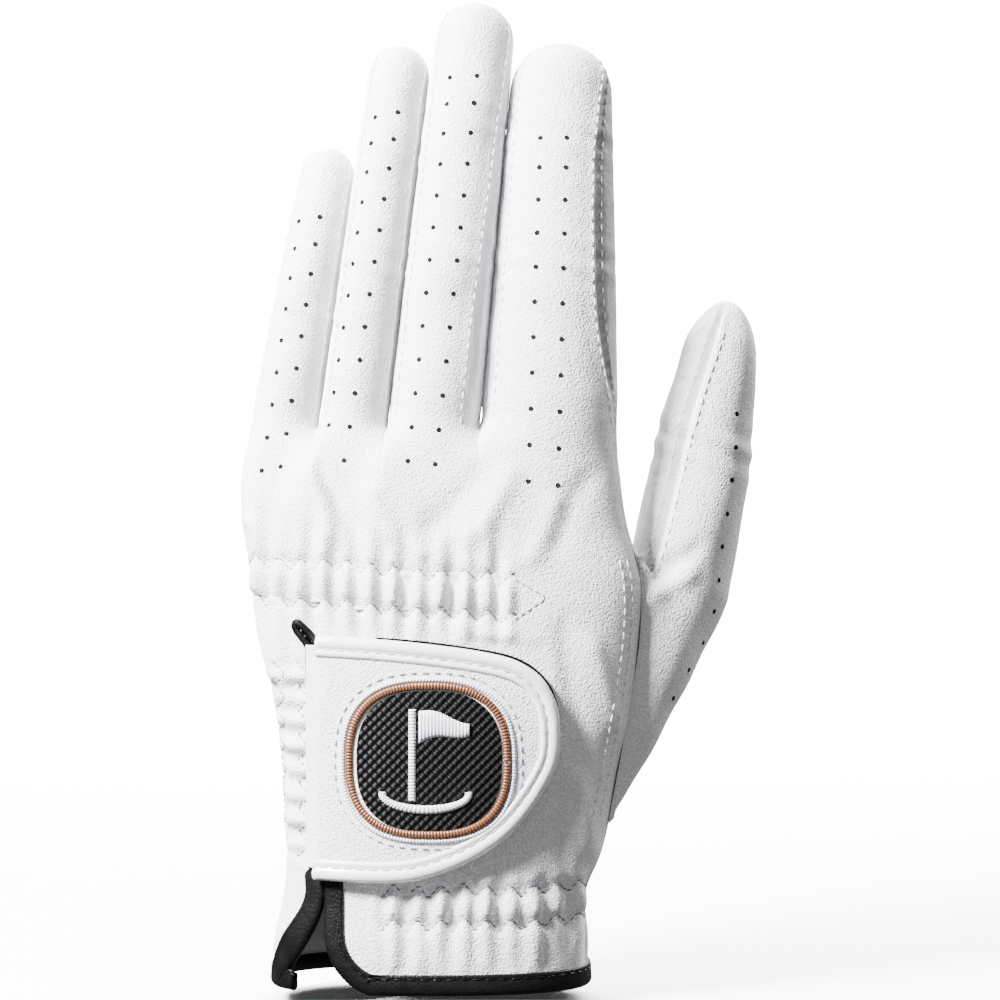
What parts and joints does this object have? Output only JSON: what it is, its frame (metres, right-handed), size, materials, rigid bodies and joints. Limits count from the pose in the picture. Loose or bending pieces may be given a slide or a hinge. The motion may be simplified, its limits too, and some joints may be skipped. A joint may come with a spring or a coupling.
{
  "type": "golf glove",
  "caption": "Left-hand golf glove with jointed fingers and thumb, a bound slit at the wrist and a peel-back closure tab with a patch.",
  "frame": {"origin": "on the hem plane, in the middle of the wrist opening to within 2 mm", "axes": "+Z towards the fingertips, -Y out of the back of the hand, +Y out of the palm, +X towards the thumb"},
  "size_m": [0.12, 0.0451, 0.2264],
  "materials": {
    "suede": "brushed microfibre",
    "palm_leather": "soft grained",
    "fourchette_cloth": "smooth knit",
    "elastic": "ribbed",
    "black_binding": "soft, slight sheen",
    "white_vinyl": "glossy",
    "hook_and_loop": "fuzzy",
    "patch_field": "coarse plain weave",
    "patch_border": "satin stitch",
    "patch_emblem": "satin stitch"
  },
  "bodies": {
    "hand": {"back_panel": "suede", "finger_crotches": "fourchette_cloth", "hem_binding": "black_binding", "knuckle_elastic": "elastic", "loop_pad": "hook_and_loop", "palm_panel": "palm_leather", "side_elastic": "elastic", "slit_binding": "black_binding", "tab_anchor": "suede", "thumb_root_back": "suede", "thumb_root_palm": "palm_leather", "wrist_elastic": "elastic"},
    "little_base": {"little_base_back": "suede", "little_base_fourchettes": "fourchette_cloth", "little_base_palm": "palm_leather"},
    "little_middle": {"little_middle_back": "suede", "little_middle_fourchettes": "fourchette_cloth", "little_middle_palm": "palm_leather"},
    "little_tip": {"little_tip_back": "suede", "little_tip_fourchettes": "fourchette_cloth", "little_tip_palm": "palm_leather"},
    "ring_base": {"ring_base_back": "suede", "ring_base_fourchettes": "fourchette_cloth", "ring_base_palm": "palm_leather"},
    "ring_middle": {"ring_middle_back": "suede", "ring_middle_fourchettes": "fourchette_cloth", "ring_middle_palm": "palm_leather"},
    "ring_tip": {"ring_tip_back": "suede", "ring_tip_fourchettes": "fourchette_cloth", "ring_tip_palm": "palm_leather"},
    "middle_base": {"middle_base_back": "suede", "middle_base_fourchettes": "fourchette_cloth", "middle_base_palm": "palm_leather"},
    "middle_middle": {"middle_middle_back": "suede", "middle_middle_fourchettes": "fourchette_cloth", "middle_middle_palm": "palm_leather"},
    "middle_tip": {"middle_tip_back": "suede", "middle_tip_fourchettes": "fourchette_cloth", "middle_tip_palm": "palm_leather"},
    "index_base": {"index_base_back": "suede", "index_base_fourchettes": "fourchette_cloth", "index_base_palm": "palm_leather"},
    "index_middle": {"index_middle_back": "suede", "index_middle_fourchettes": "fourchette_cloth", "index_middle_palm": "palm_leather"},
    "index_tip": {"index_tip_back": "suede", "index_tip_fourchettes": "fourchette_cloth", "index_tip_palm": "palm_leather"},
    "thumb_shaft": {"thumb_shaft_back": "suede", "thumb_shaft_palm": "palm_leather"},
    "thumb_tip": {"thumb_tip_back": "suede", "thumb_tip_palm": "palm_leather"},
    "tab": {"tab_face": "suede", "tab_binding": "white_vinyl", "hook_pad": "hook_and_loop", "patch_field": "patch_field", "patch_border": "patch_border", "patch_emblem": "patch_emblem"}
  },
  "joints": [
    {"name": "little_root_fold", "type": "hinge", "parent": "hand", "child": "little_base", "pos_m": [-0.03535, 0.009, 0.133], "axis": [-0.9869, 0, 0.1616], "range_deg": [0, 70]},
    {"name": "little_middle_fold", "type": "hinge", "parent": "little_base", "child": "little_middle", "pos_m": [-0.03179, 0.009, 0.15471], "axis": [-0.9869, 0, 0.1616], "range_deg": [0, 85]},
    {"name": "little_tip_fold", "type": "hinge", "parent": "little_middle", "child": "little_tip", "pos_m": [-0.02874, 0.01066, 0.17339], "axis": [-0.9869, 0, 0.1616], "range_deg": [0, 51]},
    {"name": "ring_root_fold", "type": "hinge", "parent": "hand", "child": "ring_base", "pos_m": [-0.0193, 0.0055, 0.133], "axis": [-0.9923, 0, 0.1236], "range_deg": [0, 70]},
    {"name": "ring_middle_fold", "type": "hinge", "parent": "ring_base", "child": "ring_middle", "pos_m": [-0.01547, 0.0055, 0.16376], "axis": [-0.9923, 0, 0.1236], "range_deg": [0, 85]},
    {"name": "ring_tip_fold", "type": "hinge", "parent": "ring_middle", "child": "ring_tip", "pos_m": [-0.01202, 0.00794, 0.19144], "axis": [-0.9923, 0, 0.1236], "range_deg": [0, 51]},
    {"name": "middle_root_fold", "type": "hinge", "parent": "hand", "child": "middle_base", "pos_m": [-0.0007, 0.0035, 0.133], "axis": [-0.9948, 0, 0.1019], "range_deg": [0, 70]},
    {"name": "middle_middle_fold", "type": "hinge", "parent": "middle_base", "child": "middle_middle", "pos_m": [0.00277, 0.0035, 0.16682], "axis": [-0.9948, 0, 0.1019], "range_deg": [0, 85]},
    {"name": "middle_tip_fold", "type": "hinge", "parent": "middle_middle", "child": "middle_tip", "pos_m": [0.00591, 0.0062, 0.19754], "axis": [-0.9948, 0, 0.1019], "range_deg": [0, 51]},
    {"name": "index_root_fold", "type": "hinge", "parent": "hand", "child": "index_base", "pos_m": [0.0254, 0.004, 0.133], "axis": [-0.9993, 0, 0.0375], "range_deg": [0, 70]},
    {"name": "index_middle_fold", "type": "hinge", "parent": "index_base", "child": "index_middle", "pos_m": [0.02656, 0.004, 0.16398], "axis": [-0.9993, 0, 0.0375], "range_deg": [0, 85]},
    {"name": "index_tip_fold", "type": "hinge", "parent": "index_middle", "child": "index_tip", "pos_m": [0.02761, 0.00644, 0.19185], "axis": [-0.9993, 0, 0.0375], "range_deg": [0, 51]},
    {"name": "thumb_root_fold", "type": "hinge", "parent": "hand", "child": "thumb_shaft", "pos_m": [0.0556, 0.0115, 0.092], "axis": [-0.8708, -0.2244, 0.4374], "range_deg": [-10, 30]},
    {"name": "thumb_tip_fold", "type": "hinge", "parent": "thumb_shaft", "child": "thumb_tip", "pos_m": [0.0614, 0.0125, 0.123], "axis": [-0.9523, -0.2454, 0.1812], "range_deg": [0, 50]},
    {"name": "tab_peel", "type": "hinge", "parent": "hand", "child": "tab", "pos_m": [-0.0283, -0.016, 0.0526], "axis": [0, 0, -1], "range_deg": [0, 150]}
  ],
  "couplings": [
    {"joint": "little_tip_fold", "follows": "little_middle_fold", "ratio": 0.6},
    {"joint": "ring_tip_fold", "follows": "ring_middle_fold", "ratio": 0.6},
    {"joint": "middle_tip_fold", "follows": "middle_middle_fold", "ratio": 0.6},
    {"joint": "index_tip_fold", "follows": "index_middle_fold", "ratio": 0.6}
  ]
}
